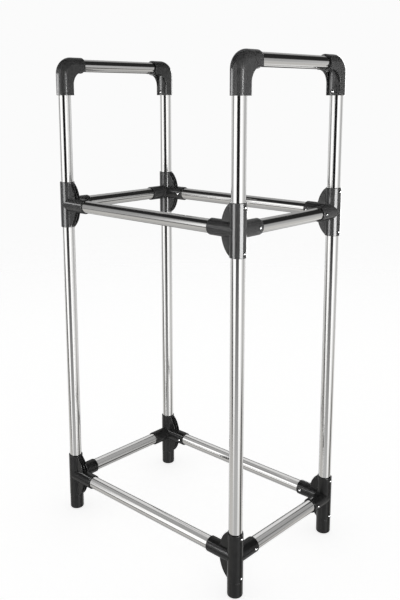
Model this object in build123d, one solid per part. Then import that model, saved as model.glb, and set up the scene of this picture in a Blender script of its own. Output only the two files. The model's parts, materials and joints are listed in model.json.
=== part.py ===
from build123d import *
import os
from collections import namedtuple

# A two-tier tyre storage rack: steel tubes plugged into plastic connectors, each tube end
# held by a sprung snap button. X runs along the long rails, Y across the rack and Z up.
# The origin is on the floor, under the middle of the rack. All sizes are in millimetres.

# Frame, between tube axes
post_pitch_x = 588.0
post_pitch_y = 368.0
lower_rail_z = 100.0
upper_rail_z = 870.0
top_bar_z = 1230.0

# Tubes
tube_radius = 16.0
tube_wall = 1.2
tube_bore = tube_radius - tube_wall
tube_end_gap = 0.5

# Sockets, the same in every connector and elbow
socket_radius = 19.0
socket_bore = tube_radius + 0.2
passage_radius = 13.5
mouth_round = 1.0
lead_in = 0.7
nearest_mouth = 40.0
tolerance = 0.01

# Base and middle connectors, measured from the centre where their axes cross
sleeve_half_height = 60.0
long_reach = 77.0
side_reach = 66.0
sleeve_shoulder = 4.0
branch_shoulder = 22.0

# Gusset ribs, above and below the long rail's socket
rib_reach = 42.0
rib_half_height = 64.0
rib_cut_height = 58.0
rib_thickness = 2.4
rib_pitch = 8.0
rib_edge_round = 0.6

# Corner elbows, measured from the centre where their axes cross
elbow_radius = 20.3
leg_reach = 76.0
arm_reach = 56.0
bend_radius = 21.5
elbow_shoulder = 22.0
plate_thickness = 2.6
plate_inset = 16.0
plate_arch_radius = 33.0
plate_edge_round = 0.8

# Feet
foot_radius = 18.6
foot_floor = 6.0
foot_bottom_round = 5.0
foot_top_round = 0.8

# Snap buttons: how far each lies from its connector's centre
post_snap = 50.0
side_snap = 54.0
long_snap = 66.0
leg_snap = 67.0
arm_snap = 44.5

button_radius = 3.6
button_proud = 2.6
button_dome = 2.7
flange_radius = 4.5
flange_top = 14.0
flange_thickness = 0.8
tube_hole_radius = 3.8
socket_hole_radius = 5.2
hole_overrun = 5.0

# Snap springs: a strip folded to a V, with the button on the end of one arm
strip_thickness = 0.6
strip_width = 8.0
strip_button_level = 12.8
strip_back_level = -13.2
strip_overlap = 6.0
strip_straight = 8.0
strip_length = 40.0
strip_fold_radius = 2.0

UP = Vector(0, 0, 1)
SIDES_X = {"left": -1, "right": 1}
SIDES_Y = {"front": -1, "back": 1}
CORNERS = {
    f"{name_y}_{name_x}": (side_x, side_y)
    for name_y, side_y in SIDES_Y.items()
    for name_x, side_x in SIDES_X.items()
}

# point: on the tube's axis; out: the way the button points; run: from the tube's end inwards
Snap = namedtuple("Snap", "point out run")


def rod(start, end, radius):
    """A solid round bar between two points."""
    run = Vector(*end) - Vector(*start)
    return extrude(Plane(origin=start, z_dir=run) * Circle(radius), amount=run.length)


def mouth_rims(body, radius):
    """The circular edges of one radius at the open ends, far from where the axes cross."""
    circles = body.edges().filter_by(GeomType.CIRCLE)
    return [
        edge
        for edge in circles
        if abs(edge.radius - radius) < tolerance and edge.arc_center.length > nearest_mouth
    ]


def connector():
    """A base or middle connector for the front left corner, centred on the origin."""
    sleeve = rod((0, 0, -sleeve_half_height), (0, 0, sleeve_half_height), socket_radius)
    long_socket = rod((0, 0, 0), (long_reach, 0, 0), socket_radius)
    side_socket = rod((0, 0, 0), (0, side_reach, 0), socket_radius)
    body = sleeve + long_socket + side_socket
    body = fillet(mouth_rims(body, socket_radius), mouth_round)
    for offset in (-rib_pitch, 0, rib_pitch):
        body += Pos(0, offset, 0) * rib()
    body -= rod((0, 0, -sleeve_half_height), (0, 0, -sleeve_shoulder), socket_bore)
    body -= rod((0, 0, sleeve_shoulder), (0, 0, sleeve_half_height), socket_bore)
    body -= rod((0, 0, -sleeve_shoulder), (0, 0, sleeve_shoulder), passage_radius)
    body -= rod((branch_shoulder, 0, 0), (long_reach, 0, 0), socket_bore)
    body -= rod((0, branch_shoulder, 0), (0, side_reach, 0), socket_bore)
    return chamfer(mouth_rims(body, socket_bore), lead_in)


def rib():
    """One gusset rib: half an ellipse standing in the X-Z plane, cut level at both ends."""
    outline = Ellipse(rib_reach, rib_half_height)
    outline &= Pos(rib_reach / 2, 0) * Rectangle(rib_reach, 2 * rib_cut_height)
    plate = extrude(Plane.XZ * outline, amount=rib_thickness / 2, both=True)
    rim = [edge for edge in plate.edges() if edge.geom_type == GeomType.ELLIPSE]
    return fillet(rim, rib_edge_round)


def bend(radius):
    """A round quarter bend from the elbow's leg, below, to its arm, along +Y."""
    section = Plane(origin=(0, 0, -bend_radius)) * Circle(radius)
    hinge = Axis((0, bend_radius, -bend_radius), (-1, 0, 0))
    return revolve(section, axis=hinge, revolution_arc=90)


def side_plate():
    """The flat cheek on the elbow's +X side, with an arch across the inside of the bend."""
    arch = plate_inset + plate_arch_radius
    outline = (
        Polyline((0, -bend_radius), (0, -leg_reach), (plate_inset, -leg_reach), (plate_inset, -arch))
        + RadiusArc((plate_inset, -arch), (arch, -plate_inset), plate_arch_radius)
        + Polyline((arch, -plate_inset), (arm_reach, -plate_inset), (arm_reach, 0), (bend_radius, 0))
        + RadiusArc((bend_radius, 0), (0, -bend_radius), -bend_radius)
    )
    inner_face = Plane.YZ.offset(elbow_radius - plate_thickness)
    plate = extrude(inner_face * make_face(outline), amount=plate_thickness)
    outer_edges = plate.faces().sort_by(Axis.X)[-1].edges()
    open_edges = [edge for edge in outer_edges if not on_elbow_axis(edge)]
    return fillet(open_edges, plate_edge_round)


def on_elbow_axis(edge):
    """Whether an edge of a side plate runs along the axes of the leg, bend and arm."""
    middle = edge.position_at(0.5)
    on_leg = abs(middle.Y) < tolerance
    on_arm = abs(middle.Z) < tolerance
    from_bend_centre = Vector(0, middle.Y - bend_radius, middle.Z + bend_radius).length
    on_bend = edge.geom_type == GeomType.CIRCLE and abs(from_bend_centre - bend_radius) < tolerance
    return on_leg or on_arm or on_bend


def elbow():
    """A corner elbow for the front left corner, centred where its two axes cross."""
    leg = rod((0, 0, -leg_reach), (0, 0, -bend_radius), elbow_radius)
    arm = rod((0, bend_radius, 0), (0, arm_reach, 0), elbow_radius)
    body = leg + bend(elbow_radius) + arm
    body = fillet(mouth_rims(body, elbow_radius), mouth_round)
    cheek = side_plate()
    body += cheek
    body += mirror(cheek, about=Plane.YZ)
    body -= rod((0, 0, -leg_reach), (0, 0, -elbow_shoulder), socket_bore)
    body -= rod((0, elbow_shoulder, 0), (0, arm_reach, 0), socket_bore)
    body -= rod((0, 0, -elbow_shoulder), (0, 0, -bend_radius), passage_radius)
    body -= rod((0, bend_radius, 0), (0, elbow_shoulder, 0), passage_radius)
    body -= bend(passage_radius)
    return chamfer(mouth_rims(body, socket_bore), lead_in)


def foot():
    """A hollow plug-in foot standing on the floor."""
    collar_top = lower_rail_z - sleeve_half_height
    plug_top = lower_rail_z - sleeve_shoulder - tube_end_gap
    collar = rod((0, 0, 0), (0, 0, collar_top), foot_radius)
    collar = fillet(collar.edges().sort_by(Axis.Z)[0], foot_bottom_round)
    collar = fillet(collar.edges().sort_by(Axis.Z)[-1], foot_top_round)
    plug = rod((0, 0, foot_floor), (0, 0, plug_top), tube_radius)
    return collar + plug - rod((0, 0, foot_floor), (0, 0, plug_top), tube_bore)


def at_corner(shape, side_x, side_y, height=0.0):
    """Mirrors a front left shape to another corner and lifts it to its height."""
    if side_x > 0:
        shape = mirror(shape, about=Plane.YZ)
    if side_y > 0:
        shape = mirror(shape, about=Plane.XZ)
    return Pos(*post_point(side_x, side_y, height)) * shape


def post_point(side_x, side_y, height):
    """A point on a post's axis."""
    return Vector(side_x * post_pitch_x / 2, side_y * post_pitch_y / 2, height)


def connector_snaps(side_x, side_y, height):
    """The four snaps of a connector: above, below, and on its two side sockets."""
    centre = post_point(side_x, side_y, height)
    outward = Vector(side_x, 0, 0)
    along_side = Vector(0, -side_y, 0)
    return {
        "above": Snap(centre + UP * post_snap, outward, UP),
        "below": Snap(centre - UP * post_snap, outward, -UP),
        "side": Snap(centre + along_side * side_snap, outward, along_side),
        "long": Snap(centre - outward * long_snap, along_side, -outward),
    }


def elbow_snaps(side_x, side_y):
    """The two snaps of an elbow: inside the bend on its leg, and under its arm."""
    centre = post_point(side_x, side_y, top_bar_z)
    along_side = Vector(0, -side_y, 0)
    return {
        "leg": Snap(centre - UP * leg_snap, along_side, -UP),
        "arm": Snap(centre + along_side * arm_snap, -UP, along_side),
    }


def drilled(shape, snaps, radius):
    """The shape with a hole through its wall at each snap."""
    reach = socket_radius + hole_overrun
    for snap in snaps:
        shape -= rod(snap.point, snap.point + snap.out * reach, radius)
    return shape


def tube(start, end, snaps):
    """A tube with a button hole near each end."""
    wall = rod(start, end, tube_radius) - rod(start, end, tube_bore)
    return drilled(wall, snaps, tube_hole_radius)


def snap_plane(snap):
    """Local X runs along the tube, and local Y points out through the button."""
    return Plane(origin=snap.point, x_dir=snap.run, z_dir=snap.run.cross(snap.out))


def button(snap):
    """A domed snap button with the flange that keeps it in its tube."""
    dome_top = socket_radius + button_proud
    dome_foot = dome_top - button_dome
    dome_radius = (button_radius**2 + button_dome**2) / (2 * button_dome)
    flange_base = flange_top - flange_thickness
    outline = (
        Polyline(
            (0, dome_top),
            (0, flange_base),
            (flange_radius, flange_base),
            (flange_radius, flange_top),
            (button_radius, flange_top),
            (button_radius, dome_foot),
        )
        + RadiusArc((button_radius, dome_foot), (0, dome_top), -dome_radius)
    )
    return revolve(snap_plane(snap) * make_face(outline), axis=Axis(snap.point, snap.out))


def spring(snap):
    """The folded strip inside the tube that pushes its button out."""
    line = FilletPolyline(
        (-strip_overlap, strip_button_level),
        (strip_straight, strip_button_level),
        (strip_length, 0),
        (strip_straight, strip_back_level),
        (-strip_overlap, strip_back_level),
        radius=strip_fold_radius,
    )
    strip = snap_plane(snap) * trace(line, line_width=strip_thickness)
    return extrude(strip, amount=strip_width / 2, both=True)


def build_corners(parts):
    """Connectors, elbows, feet and buttons. Returns every corner's snaps."""
    snaps = {}
    connector_blank, elbow_blank, foot_blank = connector(), elbow(), foot()
    heights = {"base": lower_rail_z, "middle": upper_rail_z}
    for corner, (side_x, side_y) in CORNERS.items():
        for level, height in heights.items():
            own = connector_snaps(side_x, side_y, height)
            body = at_corner(connector_blank, side_x, side_y, height)
            parts[f"{level}_connector_{corner}"] = drilled(body, own.values(), socket_hole_radius)
            outward = [button(own[place]) for place in ("above", "below", "side")]
            parts[f"{level}_buttons_{corner}"] = Compound(outward)
            parts[f"{level}_long_rail_button_{corner}"] = button(own["long"])
            snaps[level, side_x, side_y] = own
        own = elbow_snaps(side_x, side_y)
        body = at_corner(elbow_blank, side_x, side_y, top_bar_z)
        parts[f"elbow_{corner}"] = drilled(body, own.values(), socket_hole_radius)
        parts[f"elbow_post_button_{corner}"] = button(own["leg"])
        parts[f"elbow_bar_button_{corner}"] = button(own["arm"])
        snaps["elbow", side_x, side_y] = own
        foot_snap = snaps["base", side_x, side_y]["below"]
        plug = at_corner(foot_blank, side_x, side_y)
        parts[f"foot_{corner}"] = drilled(plug, [foot_snap], tube_hole_radius)
    return snaps


def build_posts(parts, snaps):
    """A lower and an upper tube in each post, meeting inside the middle connector."""
    inset = sleeve_shoulder + tube_end_gap
    top = top_bar_z - elbow_shoulder - tube_end_gap
    for corner, (side_x, side_y) in CORNERS.items():
        base, middle, crown = (
            snaps[level, side_x, side_y] for level in ("base", "middle", "elbow")
        )
        parts[f"lower_post_{corner}"] = tube(
            post_point(side_x, side_y, lower_rail_z + inset),
            post_point(side_x, side_y, upper_rail_z - inset),
            [base["above"], middle["below"]],
        )
        parts[f"upper_post_{corner}"] = tube(
            post_point(side_x, side_y, upper_rail_z + inset),
            post_point(side_x, side_y, top),
            [middle["above"], crown["leg"]],
        )


def build_rails(parts, snaps):
    """Long rails at front and back, side rails and top bars at left and right."""
    branch_inset = Vector(branch_shoulder + tube_end_gap, 0, 0)
    side_inset = Vector(0, branch_shoulder + tube_end_gap, 0)
    bar_inset = Vector(0, elbow_shoulder + tube_end_gap, 0)
    levels = {"lower": ("base", lower_rail_z), "upper": ("middle", upper_rail_z)}
    for name, (level, height) in levels.items():
        for place, side_y in SIDES_Y.items():
            parts[f"{name}_long_rail_{place}"] = tube(
                post_point(-1, side_y, height) + branch_inset,
                post_point(1, side_y, height) - branch_inset,
                [snaps[level, side_x, side_y]["long"] for side_x in SIDES_X.values()],
            )
        for place, side_x in SIDES_X.items():
            parts[f"{name}_side_rail_{place}"] = tube(
                post_point(side_x, -1, height) + side_inset,
                post_point(side_x, 1, height) - side_inset,
                [snaps[level, side_x, side_y]["side"] for side_y in SIDES_Y.values()],
            )
    for place, side_x in SIDES_X.items():
        parts[f"top_bar_{place}"] = tube(
            post_point(side_x, -1, top_bar_z) + bar_inset,
            post_point(side_x, 1, top_bar_z) - bar_inset,
            [snaps["elbow", side_x, side_y]["arm"] for side_y in SIDES_Y.values()],
        )


def main():
    os.makedirs("parts", exist_ok=True)
    parts = {}
    snaps = build_corners(parts)
    build_posts(parts, snaps)
    build_rails(parts, snaps)
    every_snap = [snap for own in snaps.values() for snap in own.values()]
    parts["snap_springs"] = Compound([spring(snap) for snap in every_snap])
    for name, shape in parts.items():
        export_step(shape, f"parts/{name}.step")
    print(len(parts), "nodes")


main()
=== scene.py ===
import json
import math

import bmesh
import bpy
from mathutils import Matrix, Vector


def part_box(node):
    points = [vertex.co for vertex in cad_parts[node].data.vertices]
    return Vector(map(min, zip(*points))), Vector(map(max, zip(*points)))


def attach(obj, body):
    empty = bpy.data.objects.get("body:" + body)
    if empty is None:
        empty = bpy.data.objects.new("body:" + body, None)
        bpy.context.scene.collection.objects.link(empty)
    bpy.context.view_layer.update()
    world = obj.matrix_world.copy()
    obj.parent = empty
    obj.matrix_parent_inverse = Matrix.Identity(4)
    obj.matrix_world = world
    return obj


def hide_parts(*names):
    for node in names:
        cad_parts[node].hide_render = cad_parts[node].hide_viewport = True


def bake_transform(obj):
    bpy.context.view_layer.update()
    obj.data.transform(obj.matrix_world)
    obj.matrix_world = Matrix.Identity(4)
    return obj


# The looks of a two-tier tyre rack: polished steel tubes in dark satin plastic connectors.
# Everything is in metres, in the CAD frame: X along the long rails, Y across, Z up.

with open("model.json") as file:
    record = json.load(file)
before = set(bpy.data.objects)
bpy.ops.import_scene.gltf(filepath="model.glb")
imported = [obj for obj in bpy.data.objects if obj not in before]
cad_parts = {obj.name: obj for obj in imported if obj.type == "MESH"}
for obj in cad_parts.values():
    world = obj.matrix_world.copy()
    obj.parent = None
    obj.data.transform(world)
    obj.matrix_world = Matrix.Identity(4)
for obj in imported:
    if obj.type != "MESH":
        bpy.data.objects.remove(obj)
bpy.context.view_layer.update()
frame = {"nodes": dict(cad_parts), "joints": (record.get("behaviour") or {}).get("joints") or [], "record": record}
record = frame["record"]
nodes = frame["nodes"]

# Camera
camera_azimuth = math.radians(42.64)
camera_elevation = math.radians(10.49)
camera_distance = 1.965
camera_aim = Vector((0.027, -0.015, 0.800))
camera_lens = 46.2
camera_sensor = 36.0
camera_shift_y = -0.106

# Tubes, and the button holes drilled in them
tube_sides = 128
tube_wall = 0.0012
tube_end_round = 0.0003
tube_rings_per_metre = 24
smooth_angle = 35.0
hole_radius = 0.0038
hole_sides = 40
cutter_half_length = 0.006
cutter_sink = 0.002

# Buttons: how close one button's own points lie, and how far one may stand off its tube's box
button_group_gap = 0.012
tube_reach = 0.004

# Snap springs: points closer than the gap are one
merge_gap = 0.000005

# Stage
floor_radius = 4.5
floor_sides = 96
floor_fade_start = 1.0
floor_colour = (0.80, 0.80, 0.795)
floor_mottle = 0.985
floor_glow = 0.76
backdrop_colour = (0.965, 0.965, 0.965)
ambient_light = 0.30

# The studio that gloss sees: where its walls turn to floor, and how soft its edges are
floor_starts = -0.18
floor_full = -0.45
box_edge = 3
line_edge = 4

# Materials
plastic_specular = 0.3
grain_strength = 0.12
grain_distance = 0.00005
line_strength = 0.03
line_distance = 0.00002
drawn_stretch = 0.02


def make_camera():
    """A camera at the stated angle, aimed a little above the middle of the rack."""
    data = bpy.data.cameras.new("camera")
    data.lens = camera_lens
    data.sensor_width = camera_sensor
    data.shift_y = camera_shift_y
    camera = bpy.data.objects.new("camera", data)
    bpy.context.scene.collection.objects.link(camera)
    level = math.cos(camera_elevation)
    back = Vector(
        (
            math.sin(camera_azimuth) * level,
            -math.cos(camera_azimuth) * level,
            math.sin(camera_elevation),
        )
    )
    camera.location = camera_aim + back * camera_distance
    camera.rotation_mode = "QUATERNION"
    camera.rotation_quaternion = (-back).to_track_quat("-Z", "Y")
    bpy.context.scene.camera = camera


class Shader:
    """A node tree being built, with short calls for the nodes used here."""

    def __init__(self, tree):
        self.tree = tree
        tree.nodes.clear()

    def put(self, socket, value):
        """Fills an input with a number, a colour or another node's output socket."""
        if isinstance(value, bpy.types.NodeSocket):
            self.tree.links.new(value, socket)
        else:
            socket.default_value = value

    def node(self, kind, inputs=None, **settings):
        """Adds a node with the given inputs and settings."""
        made = self.tree.nodes.new(kind)
        for name, value in settings.items():
            setattr(made, name, value)
        for name, value in (inputs or {}).items():
            self.put(made.inputs[name], value)
        return made

    def math(self, operation, *values, clamp=False):
        """Plain arithmetic on numbers or outputs."""
        made = self.node("ShaderNodeMath", operation=operation, use_clamp=clamp)
        for socket, value in zip(made.inputs, values):
            self.put(socket, value)
        return made.outputs[0]

    def step(self, value, low, high):
        """0 below low and 1 above high, smooth in between."""
        made = self.node(
            "ShaderNodeMapRange",
            {"Value": value, "From Min": low, "From Max": high},
            interpolation_type="SMOOTHSTEP",
        )
        return made.outputs["Result"]

    def mix(self, factor, a, b):
        """A colour from a, where the factor is 0, to b, where it is 1."""
        made = self.node("ShaderNodeMix", {0: factor, 6: a, 7: b}, data_type="RGBA")
        return made.outputs[2]

    def noise(self, scale, detail=3.0, stretch=(1, 1, 1), roughness=0.5):
        """Noise in the object's own coordinates, stretched along its axes."""
        place = self.node("ShaderNodeTexCoord").outputs["Object"]
        mapped = self.node("ShaderNodeMapping", {"Vector": place, "Scale": stretch})
        inputs = {
            "Vector": mapped.outputs[0],
            "Scale": scale,
            "Detail": detail,
            "Roughness": roughness,
        }
        return self.node("ShaderNodeTexNoise", inputs).outputs["Fac"]

    def bump(self, height, strength, distance):
        """A surface normal that follows a height."""
        inputs = {"Strength": strength, "Distance": distance, "Height": height}
        return self.node("ShaderNodeBump", inputs).outputs[0]


def grey(value):
    return (value, value, value, 1.0)


def new_material(name):
    """A material, its node tree and a function that fills its one shader."""
    material = bpy.data.materials.new(name)
    material.use_nodes = True
    shader = Shader(material.node_tree)
    principled = shader.node("ShaderNodeBsdfPrincipled")
    shader.node("ShaderNodeOutputMaterial", {"Surface": principled.outputs[0]})

    def finish(inputs):
        for socket, value in inputs.items():
            shader.put(principled.inputs[socket], value)
        return material

    return shader, finish


def polished_tube(name, along):
    """Bright tube with fine drawn lines along one axis, and faint cloudy smears."""
    shader, finish = new_material(name)
    lengthwise = [drawn_stretch if axis == along else 1.0 for axis in range(3)]
    lines = shader.noise(900.0, detail=4.0, stretch=lengthwise, roughness=0.65)
    bands = shader.noise(160.0, detail=2.0, stretch=lengthwise)
    smears = shader.noise(14.0, detail=3.0)
    dull, bright = (0.79, 0.785, 0.775, 1), (0.86, 0.855, 0.845, 1)
    rough = shader.math("MULTIPLY_ADD", lines, 0.06, 0.08)
    return finish(
        {
            "Base Color": shader.mix(shader.step(bands, 0.35, 0.65), dull, bright),
            "Metallic": 1.0,
            "Roughness": shader.math("MULTIPLY_ADD", shader.step(smears, 0.4, 0.8), 0.03, rough),
            "Normal": shader.bump(lines, line_strength, line_distance),
        }
    )


def moulded_plastic(name, tone, base_roughness):
    """Dark satin plastic with a fine moulded grain and slight unevenness in its gloss."""
    shader, finish = new_material(name)
    grain = shader.noise(1900.0, detail=2.0)
    flow = shader.noise(38.0, detail=4.0, roughness=0.6)
    return finish(
        {
            "Base Color": shader.mix(
                shader.step(flow, 0.3, 0.7), grey(tone * 0.86), grey(tone * 1.14)
            ),
            "Roughness": shader.math("MULTIPLY_ADD", flow, 0.12, base_roughness - 0.06),
            "Specular IOR Level": plastic_specular,
            "Normal": shader.bump(grain, grain_strength, grain_distance),
        }
    )


def foot_plastic(name):
    """The connectors' plastic, scuffed and dusty near the floor."""
    shader, finish = new_material(name)
    grain = shader.noise(2600.0, detail=2.0)
    scuffs = shader.noise(420.0, detail=5.0, stretch=(1, 1, 0.25), roughness=0.7)
    place = shader.node("ShaderNodeTexCoord").outputs["Object"]
    height = shader.node("ShaderNodeSeparateXYZ", {"Vector": place}).outputs["Z"]
    low = shader.math("SUBTRACT", 1.0, shader.step(height, 0.001, 0.009))
    worn = shader.math("MULTIPLY", low, shader.step(scuffs, 0.48, 0.7), clamp=True)
    return finish(
        {
            "Base Color": shader.mix(worn, grey(0.015), (0.05, 0.049, 0.046, 1)),
            "Roughness": shader.math("MULTIPLY_ADD", worn, 0.3, 0.26),
            "Specular IOR Level": plastic_specular,
            "Normal": shader.bump(grain, grain_strength, grain_distance),
        }
    )


def plain_steel(name, tone, base_roughness):
    """Bright steel with tumbled marks, for the buttons and their springs."""
    shader, finish = new_material(name)
    marks = shader.noise(1800.0, detail=4.0)
    return finish(
        {
            "Base Color": shader.mix(marks, grey(tone * 0.85), grey(tone * 1.1)),
            "Metallic": 1.0,
            "Roughness": shader.math("MULTIPLY_ADD", marks, 0.16, base_roughness - 0.08),
        }
    )


def make_world():
    """A pale studio. Only shiny surfaces see its boxes, dark gaps, pale floor and dark ceiling.

    Headings are in degrees from the camera's own, and heights are the sine of the elevation.
    """
    world = bpy.data.worlds.new("studio")
    world.use_nodes = True
    bpy.context.scene.world = world
    shader = Shader(world.node_tree)
    direction = shader.node("ShaderNodeTexCoord").outputs["Generated"]
    parts = shader.node("ShaderNodeSeparateXYZ", {"Vector": direction})
    height = parts.outputs["Z"]
    heading = shader.math("ARCTAN2", parts.outputs["Y"], parts.outputs["X"])
    turn = shader.math("SUBTRACT", heading, camera_azimuth - math.pi / 2)
    turn = shader.math("DEGREES", shader.math("WRAP", turn, math.pi, -math.pi))
    aside = shader.math("ABSOLUTE", turn)
    sinking = {"Value": height, "From Min": floor_starts, "From Max": floor_full}
    sunk = shader.node("ShaderNodeMapRange", sinking).outputs["Result"]

    def moving(start, change):
        """A heading in degrees that moves as the direction sinks to the floor."""
        return shader.math("MULTIPLY_ADD", sunk, change, start)

    def between(value, low, high, soft):
        """1 from low to high and 0 outside, with soft edges."""
        rise = shader.step(shader.math("SUBTRACT", value, low), -soft, soft)
        fall = shader.step(shader.math("SUBTRACT", value, high), -soft, soft)
        return shader.math("SUBTRACT", rise, fall, clamp=True)

    def both(a, b):
        return shader.math("MULTIPLY", a, b)

    # The walls, and the black gap between the two boxes, which turns to pale floor low down.
    left_wall = shader.mix(sunk, grey(0.36), (0.56, 0.55, 0.53, 1))
    right_wall = shader.mix(sunk, grey(0.58), (0.60, 0.59, 0.57, 1))
    colour = shader.mix(shader.step(turn, 0, 20), left_wall, right_wall)
    gap = shader.mix(sunk, grey(0.012), grey(0.50))
    colour = shader.mix(between(turn, -36, moving(11, 18), box_edge), colour, gap)

    # The two boxes, narrower and dimmer low down.
    dimmed = shader.step(height, -0.34, -0.52)
    left_box = shader.mix(dimmed, grey(1.25), grey(0.68))
    right_box = shader.mix(shader.step(turn, 34, 98), grey(1.3), grey(0.42))
    right_box = shader.mix(dimmed, right_box, grey(0.85))
    left_end = moving(-86, 36)
    right_end = moving(104, -48)
    colour = shader.mix(between(turn, left_end, -35, box_edge), colour, left_box)
    colour = shader.mix(between(turn, moving(13, 14), right_end, box_edge), colour, right_box)

    # A dark line outside each box, and a duller floor close under the rack.
    left_line = between(turn, moving(-109, 36), moving(-90, 36), line_edge)
    left_line = both(left_line, between(sunk, 0.12, 0.9, 0.1))
    right_line = between(turn, moving(98, -26), 98, line_edge)
    right_line = both(right_line, shader.step(sunk, 0.45, 0.8))
    colour = shader.mix(left_line, colour, grey(0.05))
    colour = shader.mix(right_line, colour, grey(0.05))
    colour = shader.mix(shader.step(height, -0.56, -0.8), colour, grey(0.42))

    # Higher up: a dark ceiling over the boxes, and lighter behind the rack.
    ceiling_start = shader.mix(shader.step(turn, -70, 30), grey(0.36), grey(0.10))
    above = shader.step(shader.math("SUBTRACT", height, ceiling_start), 0.0, 0.18)
    colour = shader.mix(above, colour, grey(0.02))
    behind = both(shader.step(aside, 138, 156), between(height, -0.25, 0.95, 0.04))
    colour = shader.mix(behind, colour, grey(0.40))

    # Level with the rack at its back: two pale panels with another black gap between them.
    back_level = between(height, -0.6, 0.12, 0.05)
    panels = both(between(aside, 122, 158, line_edge), back_level)
    colour = shader.mix(panels, colour, grey(0.85))
    back_gap = both(shader.step(aside, 157, 165), back_level)
    colour = shader.mix(back_gap, colour, grey(0.03))

    def background(shade, strength=1.0):
        inputs = {"Color": shade, "Strength": strength}
        return shader.node("ShaderNodeBackground", inputs).outputs[0]

    def choose(ray, otherwise, chosen):
        """One background for the rays of one kind, and another for the rest."""
        is_ray = shader.node("ShaderNodeLightPath").outputs[ray]
        inputs = {0: is_ray, 1: otherwise, 2: chosen}
        return shader.node("ShaderNodeMixShader", inputs).outputs[0]

    plain = background(grey(1.0), ambient_light)
    lit = choose("Is Glossy Ray", plain, background(colour))
    shown = choose("Is Camera Ray", lit, background((*backdrop_colour, 1)))
    shader.node("ShaderNodeOutputWorld", {"Surface": shown})


def make_light(name, place, aim, size, radiance, glossy=False, spread=180, on="lit_nodes"):
    """An area light that lights only the pieces of one collection.

    A glossy light shows only as a highlight, and any other one gives only plain light.
    """
    data = bpy.data.lights.new(name, "AREA")
    data.shape = "RECTANGLE"
    data.size, data.size_y = size
    data.spread = math.radians(spread)
    data.energy = radiance * math.pi * size[0] * size[1]
    light = bpy.data.objects.new(name, data)
    bpy.context.scene.collection.objects.link(light)
    light.location = place
    light.rotation_mode = "QUATERNION"
    light.rotation_quaternion = Vector(aim).to_track_quat("-Z", "Y")
    light.visible_camera = False
    light.visible_glossy = glossy
    light.visible_diffuse = not glossy
    light.light_linking.receiver_collection = bpy.data.collections[on]


def side_light(name, turn, height, distance, size, radiance, **settings):
    """A light beside the rack, facing it, at a turn from the camera's own heading."""
    heading = camera_azimuth - math.pi / 2 + math.radians(turn)
    back = Vector((math.cos(heading), math.sin(heading), 0.0))
    place = back * distance + Vector((0, 0, height))
    make_light(name, place, -back, size, radiance, **settings)


def make_lights():
    """Plain light and highlights for plastic and buttons, and a bright card over the low rails."""
    side_light("key", 30, 0.98, 2.0, (0.9, 0.7), 7.0, spread=55)
    side_light("fill", -75, 0.98, 2.0, (0.9, 0.7), 4.0, spread=55)
    side_light("right_strip", 38, 0.55, 2.0, (1.3, 0.5), 27.0, glossy=True)
    side_light("left_strip", -53, 0.55, 2.0, (1.0, 0.5), 12.0, glossy=True)
    side_light("right_line", 34, 1.19, 2.0, (0.16, 0.16), 44.0, glossy=True)
    side_light("left_line", -94, 1.19, 1.4, (1.0, 0.16), 8.5, glossy=True)
    side_light("back_key", 160, 1.0, 2.0, (1.2, 1.2), 2.2)
    side_light("back_fill", -150, 1.0, 2.0, (1.2, 1.2), 1.4)
    side_light("back_strip", 150, 0.9, 2.2, (0.7, 1.6), 9.0, glossy=True)
    card = {"glossy": True, "on": "low_rails"}
    make_light("low_card", (0, 0, 0.72), (0, 0, -1), (3.2, 3.2), 0.38, **card)


def make_floor():
    """A plain pale floor, softly lit from within, that fades into the backdrop with distance."""
    mesh = bpy.data.meshes.new("floor")
    form = bmesh.new()
    bmesh.ops.create_circle(form, cap_ends=True, radius=floor_radius, segments=floor_sides)
    form.to_mesh(mesh)
    form.free()
    floor = bpy.data.objects.new("floor", mesh)
    bpy.context.scene.collection.objects.link(floor)
    shader, finish = new_material("pale_floor")
    shade = tuple(channel * floor_mottle for channel in floor_colour)
    place = shader.node("ShaderNodeTexCoord").outputs["Object"]
    distance = shader.node("ShaderNodeVectorMath", {0: place}, operation="LENGTH")
    fade = shader.step(distance.outputs["Value"], floor_fade_start, floor_radius)
    material = finish(
        {
            "Base Color": shader.mix(
                shader.noise(3.0, detail=2.0), (*floor_colour, 1), (*shade, 1)
            ),
            "Roughness": 0.9,
            "Specular IOR Level": 0.0,
            "Alpha": shader.math("SUBTRACT", 1.0, fade),
            "Emission Color": grey(1.0),
            "Emission Strength": floor_glow,
        }
    )
    mesh.materials.append(material)
    floor.visible_glossy = False


def button_places():
    """Every snap button's centre, the way it points and its body, in the row frame."""
    presses = {joint["child"]: Vector(joint["axis"]) for joint in frame["joints"]}
    places = []
    for body, press in presses.items():
        for node in record["behaviour"]["bodies"][body]:
            corners = [vertex.co.copy() for vertex in nodes[node].data.vertices]
            while corners:
                seed = corners[0]
                own = [point for point in corners if (point - seed).length < button_group_gap]
                corners = [point for point in corners if (point - seed).length >= button_group_gap]
                low = Vector(map(min, *own))
                high = Vector(map(max, *own))
                places.append(((low + high) / 2, -press, body))
    return places


def ring(form, radius, along, sides):
    """A ring of vertices about the local Z axis."""
    points = [
        (radius * math.cos(angle), radius * math.sin(angle), along)
        for angle in (2 * math.pi * index / sides for index in range(sides))
    ]
    return [form.verts.new(point) for point in points]


def lathe(profile, sides):
    """A closed surface turned about Z from a closed profile of (radius, height) points."""
    form = bmesh.new()
    rings = [ring(form, radius, along, sides) for radius, along in profile]
    for first, second in zip(rings, rings[1:] + rings[:1]):
        for index in range(sides):
            following = (index + 1) % sides
            form.faces.new((first[index], first[following], second[following], second[index]))
    bmesh.ops.recalc_face_normals(form, faces=form.faces)
    return form


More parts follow.
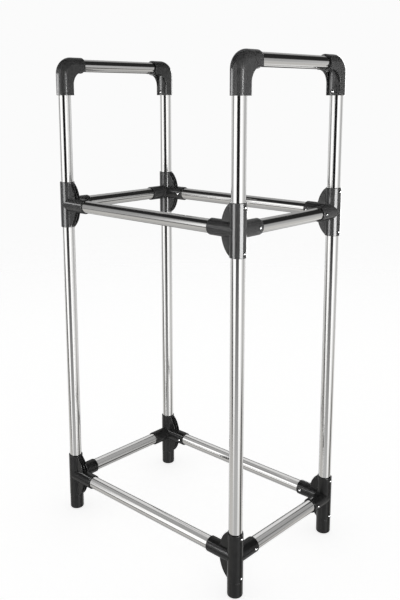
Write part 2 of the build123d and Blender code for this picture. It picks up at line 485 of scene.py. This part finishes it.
def tube_profile(radius, length):
    """A tube's wall in section, with both ends rounded over and rings along its length."""
    bore = radius - tube_wall
    rings = max(2, round(length * tube_rings_per_metre))
    stations = [
        tube_end_round + (length - 2 * tube_end_round) * index / rings
        for index in range(rings + 1)
    ]
    outside = [(radius, along) for along in stations]
    inside = [(bore, along) for along in reversed(stations)]
    inset = tube_end_round
    top = [(radius - inset, length), (bore + inset, length)]
    bottom = [(bore + inset, 0.0), (radius - inset, 0.0)]
    return outside + top + inside + bottom


def drill(tube, places):
    """Cuts the snap holes that lie on this tube."""
    cutters = bmesh.new()
    for centre, out, _ in places:
        turn = out.to_track_quat("Z", "Y").to_matrix().to_4x4()
        place = Matrix.Translation(centre - out * cutter_sink) @ turn
        bmesh.ops.create_cone(
            cutters,
            cap_ends=True,
            segments=hole_sides,
            radius1=hole_radius,
            radius2=hole_radius,
            depth=2 * cutter_half_length,
            matrix=place,
        )
    mesh = bpy.data.meshes.new("cutters")
    cutters.to_mesh(mesh)
    cutters.free()
    cutter = bpy.data.objects.new("cutters", mesh)
    bpy.context.scene.collection.objects.link(cutter)
    boolean = tube.modifiers.new("holes", "BOOLEAN")
    boolean.operation = "DIFFERENCE"
    boolean.solver = "EXACT"
    boolean.object = cutter
    bpy.context.view_layer.update()
    depsgraph = bpy.context.evaluated_depsgraph_get()
    cut = bpy.data.meshes.new_from_object(tube.evaluated_get(depsgraph))
    tube.modifiers.clear()
    tube.data = cut
    bpy.data.objects.remove(cutter)


def make_tube(node, places, materials):
    """A fine, drilled tube in place of a CAD tube."""
    low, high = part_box(node)
    size = high - low
    along = max(range(3), key=lambda axis: size[axis])
    across = [axis for axis in range(3) if axis != along]
    radius = sum(size[axis] for axis in across) / 4
    form = lathe(tube_profile(radius, size[along]), tube_sides)
    direction = Vector([1.0 if axis == along else 0.0 for axis in range(3)])
    start = (low + high) / 2 - direction * size[along] / 2
    turn = direction.to_track_quat("Z", "Y").to_matrix().to_4x4()
    bmesh.ops.transform(form, matrix=Matrix.Translation(start) @ turn, verts=form.verts)
    mesh = bpy.data.meshes.new(f"{node}_fine")
    form.to_mesh(mesh)
    form.free()
    tube = bpy.data.objects.new(f"{node}_fine", mesh)
    bpy.context.scene.collection.objects.link(tube)

    def on_tube(point):
        return all(
            low[axis] - tube_reach < point[axis] < high[axis] + tube_reach for axis in range(3)
        )

    drill(tube, [place for place in places if on_tube(place[0])])
    tube.data.materials.clear()
    tube.data.materials.append(materials[along])
    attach(tube, "root")
    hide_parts(node)
    return tube


def smooth(piece):
    """Smooth shading, with sharp edges kept crisp."""
    bpy.ops.object.select_all(action="DESELECT")
    bpy.context.view_layer.objects.active = piece
    piece.select_set(True)
    angle = math.radians(smooth_angle)
    bpy.ops.object.shade_smooth_by_angle(angle=angle, keep_sharp_edges=False)


def loose_parts(mesh):
    """The vertices and faces of each separate solid of a mesh."""
    form = bmesh.new()
    form.from_mesh(mesh)
    bmesh.ops.remove_doubles(form, verts=form.verts, dist=merge_gap)
    waiting = set(form.verts)
    parts = []
    for seed in form.verts:
        if seed not in waiting:
            continue
        waiting.remove(seed)
        own, edge = [seed], [seed]
        while edge:
            vertex = edge.pop()
            for link in vertex.link_edges:
                other = link.other_vert(vertex)
                if other in waiting:
                    waiting.remove(other)
                    own.append(other)
                    edge.append(other)
        index = {vertex: place for place, vertex in enumerate(own)}
        faces = {face: None for vertex in own for face in vertex.link_faces}
        corners = [[index[vertex] for vertex in face.verts] for face in faces]
        parts.append(([vertex.co.copy() for vertex in own], corners))
    form.free()
    return parts


def make_springs(material):
    """The folded strips, each split off as a smooth-shaded piece of its own with its material."""
    for number, (points, corners) in enumerate(loose_parts(nodes["snap_springs"].data), 1):
        mesh = bpy.data.meshes.new(f"snap_spring_{number:02d}")
        mesh.from_pydata(points, [], corners)
        mesh.materials.append(material)
        spring = bpy.data.objects.new(mesh.name, mesh)
        bpy.context.scene.collection.objects.link(spring)
        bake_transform(spring)
        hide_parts("snap_springs")
        smooth(spring)


def dress(node, material):
    """Gives a CAD node its material."""
    piece = nodes[node]
    piece.data.materials.clear()
    piece.data.materials.append(material)


def make_object():
    """Every piece, with its material. The collections say which pieces the lights reach."""
    lit_nodes = bpy.data.collections["lit_nodes"]
    low_rails = bpy.data.collections["low_rails"]
    tube_materials = [
        polished_tube(f"polished_tube_{axis}", index) for index, axis in enumerate("xyz")
    ]
    by_slot = {
        "connector": moulded_plastic("connector_plastic", 0.016, 0.16),
        "foot": foot_plastic("foot_plastic"),
        "button": plain_steel("button_steel", 0.78, 0.2),
        "spring": plain_steel("spring_steel", 0.5, 0.35),
    }
    places = button_places()
    for row in record["subparts"]:
        node, slot = row["node"], row["material_slot"]
        if slot == "tube":
            tube = make_tube(node, places, tube_materials)
            smooth(tube)
            if node.startswith("lower") and "rail" in node:
                low_rails.objects.link(tube)
        elif slot == "spring":
            make_springs(by_slot[slot])
        else:
            dress(node, by_slot[slot])
            lit_nodes.objects.link(nodes[node])


make_camera()
make_world()
bpy.data.collections.new("lit_nodes")
bpy.data.collections.new("low_rails")
make_lights()
make_floor()
make_object()
bpy.context.scene.view_settings.view_transform = "Standard"
